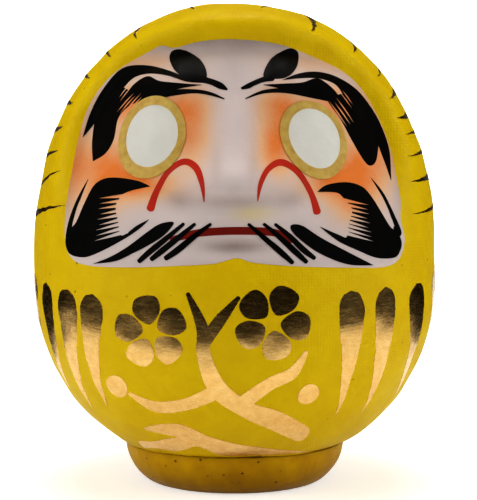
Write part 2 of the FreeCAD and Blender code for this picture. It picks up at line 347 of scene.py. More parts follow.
def look_in(tree, turn, rise):
    """Where the skin is met at (turn, rise), looking in from outside, and its normal there."""
    tilt = math.radians(max(0.0, rise - CREST_Z) * TILT_PER_MM)
    height = min(rise, CREST_Z) - CROWN_DIP * math.sin(tilt)
    turn = math.radians(turn)
    out = Vector((math.sin(turn) * math.cos(tilt), -math.cos(turn) * math.cos(tilt), math.sin(tilt)))
    spot, normal, _, _ = tree.ray_cast(Vector((0, 0, height * MM)) + out * 0.2, -out)
    return spot, normal


def look_back(tree, x, z):
    """Where the skin is met at (x, z), looking at the doll from the front, and its normal there."""
    spot, normal, _, _ = tree.ray_cast(Vector((x * MM, -0.2, z * MM)), Vector((0, 1, 0)))
    return spot, normal


def lump(point):
    """How far hand-laid pulp and paint stand proud of the mould at a point."""
    broad = noise.noise(point / (17 * MM))
    close = noise.noise(point / (7 * MM) + Vector((4.7, 1.3, 9.1)))
    return (0.42 * broad + 0.24 * close) * MM


# Where the face is pressed in or built up: x, z, half width, half height and rise, in millimetres.
FACE_MODELLING = [
    (0, 79.0, 11, 1.9, -1.3), (-14.5, 79.5, 3.5, 3.2, -0.9), (14.5, 79.5, 3.5, 3.2, -0.9), (0, 85.0, 6.5, 3.6, 1.2),
    (-10.5, 83.5, 4.0, 4.0, 0.8), (10.5, 83.5, 4.0, 4.0, 0.8), (0, 68.3, 8.5, 1.9, -1.1), (0, 75.0, 10, 1.8, 0.5),
    (0, 111, 1.6, 6, -0.5), (-6.5, 108, 3.5, 5, 0.7), (6.5, 108, 3.5, 5, 0.7), (0, 99, 3.2, 7, 0.5),
    (-27, 76, 8, 6, 0.6), (27, 76, 8, 6, 0.6), (0, 118, 24, 2.6, -0.6),
]  # fmt: skip


def soft_spot(x, z, x0, z0, wide, tall):
    return math.exp(-(((x - x0) / wide) ** 2) - ((z - z0) / tall) ** 2)


def modelled(point):
    """How far the face is built up or pressed in at a point, beyond what the moulded body gives it."""
    if point.y > 0:
        return 0.0
    x, z = point.x / MM, point.z / MM
    return sum(m[4] * soft_spot(x, z, *m[:4]) for m in FACE_MODELLING) * MM


def new_object(name, mesh, *materials):
    made = bpy.data.objects.new(name, mesh)
    bpy.context.collection.objects.link(made)
    for m in materials:
        mesh.materials.append(m)
    return made


def settled(made):
    """The object's mesh with its modifiers worked out, and the modifiers taken off."""
    mesh = bpy.data.meshes.new_from_object(made.evaluated_get(bpy.context.evaluated_depsgraph_get()))
    made.modifiers.clear()
    made.data = mesh
    return made


COLUMNS = 320
SIDE_ROWS = 128
CROWN_ROWS = 40


def body_skin():
    """The whole painted outside of the body, open at the foot."""
    tree = tree_of(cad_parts["front_shell"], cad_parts["back_shell"])
    low = RIM_Z + 0.05
    rises = [low + (CREST_Z - low) * i / SIDE_ROWS for i in range(SIDE_ROWS)]
    rises += [CREST_Z + 90 / TILT_PER_MM * i / CROWN_ROWS for i in range(CROWN_ROWS)]
    bm = bmesh.new()
    rings = []
    for rise in rises:
        spots = [look_in(tree, 360 * (i + 0.5) / COLUMNS, rise)[0] for i in range(COLUMNS)]
        rings.append([bm.verts.new(s) for s in spots])
    crown = bm.verts.new(look_in(tree, 0, CREST_Z + 90 / TILT_PER_MM)[0])
    for below, above in zip(rings, rings[1:]):
        for i in range(COLUMNS):
            j = (i + 1) % COLUMNS
            bm.faces.new((below[i], below[j], above[j], above[i]))
    for i in range(COLUMNS):
        bm.faces.new((rings[-1][i], rings[-1][(i + 1) % COLUMNS], crown))
    inner = [v for ring in rings[2:] for v in ring] + [crown]
    for _ in range(4):
        bmesh.ops.smooth_vert(bm, verts=inner, factor=0.5, use_axis_x=True, use_axis_y=True, use_axis_z=True)
    bm.normal_update()
    for v in [v for ring in rings for v in ring] + [crown]:
        v.co += v.normal * (lump(v.co) + modelled(v.co))
    for face in bm.faces:
        face.smooth = True
    mesh = bpy.data.meshes.new("body_skin")
    bm.to_mesh(mesh)
    bm.free()
    return new_object("body_skin", mesh, YELLOW, PULP)


def half_shell(name, whole, forward):
    """One half of the walled body, cut at the joint and closed there."""
    bm = bmesh.new()
    bm.from_mesh(whole.data)
    cut = bmesh.ops.bisect_plane(
        bm,
        geom=bm.verts[:] + bm.edges[:] + bm.faces[:],
        plane_co=(0, JOINT_Y, 0),
        plane_no=(0, 1 if forward else -1, 0),
        clear_outer=True,
    )
    edges = [g for g in cut["geom_cut"] if isinstance(g, bmesh.types.BMEdge)]
    for edge in edges:
        edge.smooth = False
    filled = bmesh.ops.triangle_fill(bm, edges=edges, use_beauty=True)
    for g in filled["geom"]:
        if isinstance(g, bmesh.types.BMFace):
            g.material_index = 1
            g.smooth = False
    bmesh.ops.recalc_face_normals(bm, faces=bm.faces)
    mesh = bpy.data.meshes.new(name)
    bm.to_mesh(mesh)
    bm.free()
    return new_object(name, mesh, YELLOW, PULP)


skin = body_skin()
walled = new_object("walled_body", skin.data.copy())
wall = walled.modifiers.new("wall", "SOLIDIFY")
wall.thickness = WALL
wall.offset = -1
wall.material_offset = 1
wall.material_offset_rim = 1
walled = settled(walled)
front = half_shell("painted_front", walled, True)
back = half_shell("painted_back", walled, False)
bpy.data.objects.remove(walled)


def painted_foot():
    """The foot dish with its edges softened and its sides as uneven as hand-laid pulp."""
    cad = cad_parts["foot_dish"]
    bm = bmesh.new()
    bm.from_mesh(cad.data)
    bmesh.ops.remove_doubles(bm, verts=bm.verts, dist=0.001 * MM)
    mesh = bpy.data.meshes.new("painted_foot")
    bm.to_mesh(mesh)
    bm.free()
    foot = new_object("painted_foot", mesh)
    voxel = foot.modifiers.new("even", "REMESH")
    voxel.mode = "VOXEL"
    voxel.voxel_size = 0.55 * MM
    soft = foot.modifiers.new("soft", "SMOOTH")
    soft.iterations = 5
    foot = settled(foot)
    bm = bmesh.new()
    bm.from_mesh(foot.data)
    bm.normal_update()
    for v in bm.verts:
        side = min(1.0, max(0.0, v.co.z / MM / 3))  # the underside stays flat
        v.co += v.normal * lump(v.co) * 0.8 * side
        v.co.z = max(v.co.z, 0.0)
    for face in bm.faces:
        centre = face.calc_center_median()
        low = face.normal.dot(centre) > 0 and centre.z < 10 * MM
        outside = centre.xy.length > 29 * MM or centre.z < 0.3 * MM or low
        face.material_index = 0 if outside and centre.xy.length > 19 * MM else 1
        face.smooth = True
    bm.to_mesh(foot.data)
    bm.free()
    foot.data.materials.append(FOOT_YELLOW)
    foot.data.materials.append(PULP)
    return foot


foot = painted_foot()
skin_tree = tree_of(skin)

# ---------------------------------------------------------------------------------------------------------
# Paint films: closed, thin shapes that lie on the skin
# ---------------------------------------------------------------------------------------------------------


def rounded(points, step=0.5):
    """A smooth closed outline through points; one with a third value keeps its corner."""
    count = len(points)
    made = []
    for i in range(count):
        here, there = points[i], points[(i + 1) % count]
        before = here if len(here) > 2 else points[i - 1]
        after = there if len(there) > 2 else points[(i + 2) % count]
        p0, p1, p2, p3 = (Vector(p[:2]) for p in (before, here, there, after))
        parts = max(1, round((p2 - p1).length / step))
        for k in range(parts):
            t = k / parts
            made.append(
                0.5
                * (
                    2 * p1
                    + (p2 - p0) * t
                    + (2 * p0 - 5 * p1 + 4 * p2 - p3) * t * t
                    + (3 * p1 - p0 - 3 * p2 + p3) * t * t * t
                )
            )
    return made


def stroke(points, step=0.5):
    """The outline of one brush stroke through (x, z, half width) points, rounded where an end has width."""
    line = []
    for i in range(len(points) - 1):
        before, here = points[max(0, i - 1)], points[i]
        there, after = points[i + 1], points[min(len(points) - 1, i + 2)]
        p0, p1, p2, p3 = (Vector(p) for p in (before, here, there, after))
        parts = max(2, round((p2.xy - p1.xy).length / step))
        for k in range(parts):
            t = k / parts
            curve = 2 * p1 + (p2 - p0) * t + (2 * p0 - 5 * p1 + 4 * p2 - p3) * t * t
            line.append(0.5 * (curve + (3 * p1 - p0 - 3 * p2 + p3) * t * t * t))
    line.append(Vector(points[-1]))
    left, right = [], []
    for i, p in enumerate(line):
        along = (line[min(i + 1, len(line) - 1)] - line[max(i - 1, 0)]).xy.normalized()
        aside = Vector((-along.y, along.x)) * max(p.z, 0.03)
        left.append(p.xy + aside)
        right.append(p.xy - aside)
    return left + end_cap(line[-1], line[-2]) + right[::-1] + end_cap(line[0], line[1])


def end_cap(tip, inside):
    """The points round a stroke's end, from its left side to its right as the brush leaves it."""
    if tip.z < 0.25:
        return []
    along = (tip - inside).xy.normalized()
    aside = Vector((-along.y, along.x))
    turns = [math.pi * k / 6 for k in range(1, 6)]
    return [tip.xy + (aside * math.cos(a) + along * math.sin(a) * 0.7) * tip.z for a in turns]


def covered(shapes, gaps, spacing):
    """Points and triangles of the union of the shapes, less the gaps."""
    points, faces = [], []
    for shape in shapes + gaps:
        area = sum(a.x * b.y - b.x * a.y for a, b in zip(shape, shape[1:] + shape[:1]))
        faces.append(list(range(len(points), len(points) + len(shape))))
        points += shape if area > 0 else shape[::-1]
    low = [min(p[k] for s in shapes for p in s) for k in (0, 1)]
    high = [max(p[k] for s in shapes for p in s) for k in (0, 1)]
    across, up = (math.ceil((high[k] - low[k]) / spacing) for k in (0, 1))
    for j in range(up + 1):
        for i in range(across + 1):
            points.append(Vector((low[0] + (i + 0.5 * (j % 2)) * spacing, low[1] + j * spacing)))
    flat, _, triangles, _, _, origins = delaunay_2d_cdt(points, [], faces, 1, 1e-4)
    kept = [
        t
        for t, own in zip(triangles, origins)
        if any(k < len(shapes) for k in own) and not any(k >= len(shapes) for k in own)
    ]
    return flat, kept


def film(name, look, shapes, paint, thick=0.12, gaps=(), spacing=1.2, fields=None):
    """A closed film of paint over the shapes, that thick in millimetres. fields names point values to store."""
    flat, triangles = covered(list(shapes), list(gaps), spacing)
    bm = bmesh.new()
    layers = {key: bm.verts.layers.float.new(key) for key in fields or {}}
    pairs = {}
    for k in sorted({k for t in triangles for k in t}):
        spot, normal = look(skin_tree, flat[k].x, flat[k].y)
        pairs[k] = (bm.verts.new(spot + normal * thick * MM), bm.verts.new(spot - normal * 0.12 * MM))
        for v in pairs[k]:
            for key, layer in layers.items():
                v[layer] = fields[key](flat[k].x, flat[k].y)
    sides = {}
    for t in triangles:
        bm.faces.new([pairs[k][0] for k in t]).smooth = True
        bm.faces.new([pairs[k][1] for k in reversed(t)]).smooth = True
        for a, b in zip(t, t[1:] + t[:1]):
            sides[(a, b)] = (b, a) in sides or sides.get((a, b), False)
            if (b, a) in sides:
                sides[(b, a)] = True
    for (a, b), shared in sides.items():
        if not shared:
            bm.faces.new((pairs[b][0], pairs[a][0], pairs[a][1], pairs[b][1]))
    bmesh.ops.recalc_face_normals(bm, faces=bm.faces)
    for edge in bm.edges:
        if len(edge.link_faces) == 2 and edge.calc_face_angle() > 0.9:
            edge.smooth = False
    mesh = bpy.data.meshes.new(name)
    bm.to_mesh(mesh)
    bm.free()
    return new_object(name, mesh, paint)


# --- the white ground of the face -----------------------------------------------------------------------

FACE_EDGE = [
    (0, 121.0), (-9, 120.6), (-15.5, 119.2), (-19, 119.8), (-22, 118.6), (-30, 114.4), (-35, 110), (-39, 104),
    (-41.5, 96), (-43, 87), (-44.2, 78), (-44.4, 70.5), (-43, 65.2), (-38.5, 62.9), (-27, 62.7), (-14, 63.4),
    (-5, 64.0), (0.5, 65.3), (5, 64.2), (16, 63.2), (29, 62.6), (38, 62.4), (42.5, 64), (44.4, 69), (43.4, 74.5),
    (43.6, 79), (42.6, 86), (41.4, 93), (38.2, 101.5), (34, 108.4), (29, 113), (22, 116.4), (12, 119.8),
]  # fmt: skip


def orange_spray(x, z):
    """How much orange the airbrush left: heaviest round the eyes, and thin towards the middle of the face."""
    spots = [
        (-33, 88, 9, 8, 0.85), (-11.5, 98, 5, 9.5, 0.75), (-24, 83.5, 8.5, 3.5, 0.8), (-34, 79, 4, 5, 0.35),
        (-43, 90, 3.5, 13, 0.55), (-27, 104, 9, 5, 0.75), (-25, 115.5, 11, 3, 0.3), (-13, 104, 6, 3, 0.3),
        (32.5, 88, 8, 8, 0.9), (11.5, 98, 5, 9, 0.75), (24, 84, 7, 3.5, 0.75), (30, 79, 6, 5, 0.5),
        (10, 91, 4, 5, 0.45), (28, 104, 9, 5, 0.8), (40, 96, 3, 8, 0.3), (24, 115.5, 12, 3, 0.28),
        (12, 104, 6, 3, 0.35),
    ]  # fmt: skip
    return sum(s[4] * soft_spot(x, z, *s[:4]) for s in spots)


def yellow_smudge(x, z):
    """A wiped-off touch of the body's yellow on the upper lip."""
    return 0.6 * soft_spot(x, z, 4.5, 76.3, 5, 1.9)


def painted_hollow_shade(x, z):
    """Brown painted shade in the hollows: under the hood's edge, beside and under the nose, and under the lip."""
    hollows = [
        (0, 121.5, 36, 3.4, 0.5), (0, 115, 12, 5, 0.1), (0, 79.3, 9, 1.5, 0.28), (-13.5, 79.5, 3.2, 2.6, 0.3),
        (13.5, 79.5, 3.2, 2.6, 0.25), (0, 68.2, 7.5, 1.7, 0.5), (0, 63.8, 22, 1.2, 0.15), (44, 86, 2.2, 14, 0.3),
        (-44.5, 86, 2, 14, 0.3), (-4.5, 88, 1.6, 5, 0.14), (4.5, 88, 1.6, 5, 0.14),
    ]  # fmt: skip
    return sum(h[4] * soft_spot(x, z, *h[:4]) for h in hollows)


film(
    "face_ground",
    look_back,
    [rounded(FACE_EDGE)],
    FACE,
    0.10,
    spacing=1.0,
    fields={"orange": orange_spray, "stain": yellow_smudge, "hollow_shade": painted_hollow_shade},
)

# --- the eyes -------------------------------------------------------------------------------------------


def oval(x0, z0, wide, tall, lean, wobble=0.0):
    """A hand-drawn oval outline; lean turns its top towards -x, in degrees."""
    made = []
    for k in range(56):
        a = math.tau * k / 56
        swell = 1 + wobble * math.sin(2 * a + x0) + 0.6 * wobble * math.sin(3 * a + 1)
        x, z = wide * swell * math.cos(a), tall * swell * math.sin(a)
        turn = math.radians(lean)
        over, up = x * math.cos(turn) - z * math.sin(turn), x * math.sin(turn) + z * math.cos(turn)
        made.append(Vector((x0 + over, z0 + up)))
    return made


RING_LAP = 0.4  # how far the white runs under the ring
LINE_GRID = 0.9  # the grid inside narrow films

for side, outer, inner in (
    ("left", (-21.3, 95.6, 8.7, 10.8, -22), (-21.2, 95.9, 6.7, 8.1, -20)),
    ("right", (20.3, 95.0, 8.0, 10.8, 28), (20.5, 95.3, 6.2, 8.2, 26)),
):
    x0, z0, wide, tall, lean = inner
    under = oval(x0, z0, wide + RING_LAP, tall + RING_LAP, lean, 0.015)
    film(f"{side}_eye_ring", look_back, [oval(*outer, 0.02)], RING_GOLD, 0.34, [oval(*inner, 0.015)], LINE_GRID)
    film(f"{side}_eye_white", look_back, [under], WHITE, 0.26, spacing=LINE_GRID)

# --- brows ----------------------------------------------------------------------------------------------

LEFT_BROW = [
    [
        (-7.9, 109.4, 1), (-11.5, 110.5), (-17, 112.9), (-22, 114.5), (-27, 114.9), (-31, 113.3), (-35.5, 108),
        (-38.6, 102), (-40.4, 96, 1), (-37.3, 99.6, 1), (-37.7, 94.5), (-37.2, 89.6, 1), (-33.8, 91.6), (-31.6, 95.2),
        (-30.6, 100.5), (-28.5, 103.3), (-25.2, 105.2, 1), (-26, 107), (-29.2, 109, 1), (-26.3, 111.6),
        (-22.2, 112.4), (-17, 111.5), (-12.5, 109.9),
    ],
    [
        (-26.6, 109.4, 1), (-24.6, 110.9), (-22.3, 111.6), (-19.5, 110.2), (-15.5, 109.6), (-8.4, 108.9, 1),
        (-14, 108.1), (-19, 106.6), (-23.5, 105.3), (-27, 104.6), (-28.6, 106.5),
    ],
    [
        (-16.6, 118.0), (-14.9, 118.8), (-12.2, 118.1), (-9, 115.8), (-7.3, 112.8), (-7.4, 110.3), (-9.9, 109.7),
        (-13.1, 110.9), (-15.6, 113.2), (-16.9, 116),
    ],
]  # fmt: skip
LEFT_BROW_LINES = [
    [(-10, 111, 1.1), (-8.5, 110.4, 0.8), (-5.8, 109.6, 0.75), (-3.6, 108.6, 0.8), (-2.0, 107.7, 0.25)],
    [
        (-26, 105.4, 0.3), (-21, 105.9, 0.55), (-16, 107.0, 0.75), (-10.5, 107.3, 0.5), (-6.3, 106.6, 0.42),
        (-2.6, 105.2, 0.1),
    ],
]  # fmt: skip
RIGHT_BROW = [
    [
        (12.2, 110.2, 1), (16.4, 112), (21.4, 112.8), (26.6, 111.8), (32, 108.8), (36, 104.3), (38.9, 99.2),
        (41, 92.5), (41.1, 84.6, 1), (39.8, 88.7), (38, 93.8, 1), (37.1, 89.8), (35.6, 88.4), (33.8, 89.6), (30.5, 95),
        (27.6, 100.3), (24.2, 105.0, 1), (25.6, 106.4), (28.3, 107.3, 1), (26.3, 109.7), (22.2, 111), (17.3, 110.9),
    ],
    [
        (7.3, 108.9, 1), (13, 109.3), (17.5, 109.7), (21.2, 111), (24, 109.7), (26.6, 107.3), (27.2, 105),
        (23.6, 105.2), (17.8, 107.2), (12, 108.0),
    ],
    [
        (15, 119), (16.6, 117.6), (15.9, 113.6), (13, 110.9), (8, 110.7), (7.5, 112.3), (9.4, 115.9), (12.6, 118.3),
    ],
]  # fmt: skip
RIGHT_BROW_LINES = [
    [(9.5, 110.9, 1.0), (7.2, 110.2, 0.65), (5, 109.3, 0.6), (3.4, 108.5, 0.6), (1.9, 108.0, 0.3)],
    [(24, 105.4, 0.3), (19, 106.6, 0.65), (13.2, 107.5, 0.6), (7.5, 107.1, 0.42), (2.8, 105.3, 0.1)],
]  # fmt: skip


def slits(start, end, step, count, half):
    """Thin unpainted slits between bristle marks, side by side."""
    made = []
    for k in range(count):
        dx, dz = step[0] * k, step[1] * k
        short = 0.12 * (k % 2)
        x1, z1 = start[0] + dx, start[1] + dz
        x2, z2 = end[0] + dx - short * (end[0] - start[0]), end[1] + dz - short * (end[1] - start[1])
        made.append(stroke([(x1, z1, 0.06), ((x1 + x2) / 2, (z1 + z2) / 2 + 0.15, half), (x2, z2, 0.05)]))
    return made


brow_gaps = {
    "left": slits((-30.9, 102.4), (-26.2, 107.4), (0.95, -0.15), 4, 0.24)
    + slits((-30.2, 105.2), (-26.8, 109.2), (-0.2, 1.1), 2, 0.2),
    "right": slits((31.2, 99.6), (26.4, 106.2), (-1.0, -0.5), 4, 0.24)
    + slits((30.8, 103.4), (27.4, 107.8), (0.3, 1.0), 2, 0.2),
}
for side, masses, lines in (("left", LEFT_BROW, LEFT_BROW_LINES), ("right", RIGHT_BROW, RIGHT_BROW_LINES)):
    shapes = [rounded(m) for m in masses] + [stroke(line) for line in lines]
    film(f"{side}_brow", look_back, shapes, BLACK, 0.2, brow_gaps[side], LINE_GRID)

# --- the nose lines and the mouth -----------------------------------------------------------------------

nose_lines = [
    [
        (-21.1, 77.4, 1.0), (-19.7, 81.6, 0.78), (-16.8, 86.6, 0.68), (-12.8, 89.2, 0.78), (-9.6, 87.6, 0.85),
        (-8.0, 83.6, 0.6), (-7.5, 79.2, 0.1),
    ],
    [
        (20.7, 76.6, 0.95), (19.2, 81.4, 0.7), (16.0, 86.5, 0.75), (11.9, 89.0, 0.85), (8.5, 87.4, 0.7),
        (6.4, 83.6, 0.55), (5.7, 79.4, 0.1),
    ],
]  # fmt: skip
mouth = [(-15.5, 69.8, 0.7), (-9, 71.5, 0.9), (0.4, 72.1, 0.95), (9.8, 71.6, 0.9), (14, 69.4, 0.6)]
film("nose_lines", look_back, [stroke(line) for line in nose_lines], RED, 0.17, spacing=LINE_GRID)
# The mouth is laid in the darker red, as painted shade.
film("mouth_line", look_back, [stroke(mouth)], SHADED_MOUTH_RED, 0.17, spacing=LINE_GRID)

# --- the beard ------------------------------------------------------------------------------------------

LEFT_BEARD = [
    [
        (-21.4, 83.0, 1), (-24.1, 84.2), (-27.6, 84.9), (-31, 85.2), (-34, 84.8), (-36.6, 83), (-39, 78.5),
        (-41.2, 73.6), (-42.8, 72, 1), (-44.1, 69), (-42.9, 65.6), (-39, 64.8), (-35, 66), (-28.6, 69.3),
        (-24, 72.3), (-21.4, 74.7, 1), (-24.4, 73.2), (-28.4, 70.6), (-29.4, 74), (-30.2, 78), (-28.6, 81, 1),
        (-26, 82),
    ],
    [(-38.3, 84.8, 1), (-41, 80), (-43.1, 74.6), (-44.0, 69.5), (-42.4, 70), (-42.2, 73.6), (-40.3, 79.5)],
    [
        (-15.1, 73.9), (-17, 74), (-19.2, 73.3), (-22, 71.4), (-27, 67.7), (-31.5, 65.1), (-36, 63.3, 1),
        (-30, 64.2), (-25.6, 66.2), (-21, 68.6), (-17.4, 71),
    ],
]  # fmt: skip
LEFT_BEARD_LINES = [
    [(-12.6, 73.7, 0.35), (-17, 70.0, 0.62), (-21, 66.8, 0.7), (-23.8, 64.3, 0.55)],
    [(-9.8, 73.7, 0.35), (-14, 70.2, 0.65), (-18, 67.0, 0.72), (-20.6, 64.9, 0.55)],
    [(-5.9, 73.7, 0.35), (-10, 70.6, 0.65), (-14, 67.3, 0.78), (-17, 65.2, 0.6)],
]
RIGHT_BEARD = [
    [
        (20.9, 81.6, 1), (23.3, 83.3), (28.4, 84), (32.5, 83), (35, 80.6), (38, 76), (40.4, 72.4), (42.2, 71.4, 1),
        (43.4, 68.6), (42.9, 66.2), (41.2, 64.6), (36.3, 64.8), (31.5, 66.7), (26, 69.3), (21.4, 72.9, 1),
        (26, 70.9), (28.2, 70.2), (28.6, 73), (29.8, 77), (28, 79.6, 1), (26, 81.4),
    ],
    [(35.4, 85.2, 1), (38.7, 81.2), (41.6, 75.5), (43.5, 70.8), (41.6, 70), (41.0, 74), (38.9, 79.3)],
    [
        (14, 73.3), (16.8, 73.2), (21.5, 70.2), (29, 66.2), (35.2, 63.0, 1), (28.3, 63.5), (20.8, 66.6), (15, 71),
    ],
]  # fmt: skip
RIGHT_BEARD_LINES = [
    [(3.5, 73.7, 0.35), (7.5, 70.2, 0.62), (11.4, 66.8, 0.72), (14.3, 64.2, 0.5)],
    [(7.3, 73.7, 0.35), (11, 70.6, 0.62), (15, 66.9, 0.72), (17.8, 64.3, 0.5)],
    [(10.1, 73.6, 0.35), (13.5, 70.8, 0.6), (17, 67.4, 0.7), (19.8, 65.2, 0.5)],
]


def comb_gaps(tips, roots, count, wide):
    """The wedges between the comb strokes on a beard's inner side, open at the tips and pointed at the roots."""
    made = []
    for k in range(count):
        share = (k + 0.5) / count
        tip_x, tip_z = (tips[0][n] + (tips[1][n] - tips[0][n]) * share for n in (0, 1))
        root_x, root_z = (roots[0][n] + (roots[1][n] - roots[0][n]) * share for n in (0, 1))
        root_x += 0.25 * (tip_x - root_x) * (0.5 - abs(share - 0.5)) * (1 if k % 2 else 0.2)
        middle = ((tip_x + root_x) / 2, (tip_z + root_z) / 2, wide * 0.6)
        made.append(stroke([(tip_x, tip_z, wide), middle, (root_x, root_z, 0.04)]))
    return made


beard_gaps = {
    "left": comb_gaps(((-27.0, 81.2), (-27.0, 71.2)), ((-34.8, 80.6), (-35.8, 68.4)), 9, 0.6)
    + [rounded([(-38.4, 83.0, 1), (-40.9, 78.2), (-42.2, 73.2), (-41.6, 73.4), (-39.9, 78.4)])],
    "right": comb_gaps(((26.6, 80.2), (26.6, 71.2)), ((34.2, 78.8), (35.4, 68.4)), 9, 0.58)
    + [rounded([(36.4, 82.8, 1), (39.2, 78.4), (41.6, 72.6), (41.0, 72.4), (38.6, 77.6)])],
}
for side, masses, lines in (("left", LEFT_BEARD, LEFT_BEARD_LINES), ("right", RIGHT_BEARD, RIGHT_BEARD_LINES)):
    shapes = [rounded(m) for m in masses[:2]]
    film(f"{side}_beard", look_back, shapes, BLACK, 0.2, beard_gaps[side], LINE_GRID)
    shapes = [rounded(masses[2])] + [stroke(line) for line in lines]
    film(f"{side}_beard_strokes", look_back, shapes, BLACK, 0.24, spacing=LINE_GRID)

# --- the belly: a spray of plum blossom in place of lettering, and the wave under it ----------------------


def blossom(x0, z0, size, turn):
    """Five broad petals round a bare middle, each two loaded touches of the brush wide."""
    made = []
    for k in range(5):
        a = math.radians(turn + 72 * k)
        out = Vector((math.cos(a), math.sin(a)))
        aside = Vector((-out.y, out.x))
        spots = [(0.22, 0), (0.55, 0.36), (0.9, 0.3), (1.0, 0), (0.9, -0.33), (0.52, -0.34)]
        made.append(rounded([tuple(Vector((x0, z0)) + (out * u + aside * v) * size) for u, v in spots]))
    return made


motif = [
    stroke([
        (17.5, 18.5, 2.6), (10.5, 23, 2.9), (3, 26.5, 2.3), (-4, 32, 2.4), (-7.5, 40.5, 1.8), (-8, 48, 1.5),
        (-11.5, 56.5, 0.5),
    ]),
    stroke([(-4.5, 31.5, 2.0), (-12, 27.8, 1.7), (-20, 26.5, 1.6), (-27, 29.6, 0.5)]),
    stroke([(1.5, 27.8, 2.0), (8.5, 33.2, 1.7), (14.5, 36.2, 1.5), (18, 41.5, 0.5)]),
    stroke([(-7.8, 43.5, 1.3), (-4, 49.4, 1.5), (1.0, 55.6, 0.5)]),
]
motif += blossom(-21, 46.5, 9.4, 100)
motif += blossom(9.4, 49.3, 9.6, 64)
motif += [oval(-30.4, 31.4, 2.6, 3.3, 40, 0.03), oval(18.8, 30.2, 2.5, 3.0, -35, 0.03)]
film("blossom_spray", look_back, motif, GOLD, 0.07, spacing=1.3)

wave = [
    rounded([
        (-35, 19.4), (-28, 21.2), (-20, 21.8), (-15, 20.6), (-9, 18.2), (0, 16.2), (10, 14.8), (22, 13.4), (39, 12, 1),
        (22, 11.9), (8, 11.9), (-6, 12), (-12, 14), (-16, 15), (-22, 13.6), (-29, 12.6), (-37, 13), (-47, 12.2, 1),
        (-44, 14.8), (-36, 15.4), (-28, 16.8), (-23, 17.6), (-28, 18.2),
    ])
]  # fmt: skip
film("wave_stroke", look_in, wave, GOLD, 0.07, spacing=1.3)

# --- gold strokes that repeat round the body and the hood, laid by one node tree --------------------------


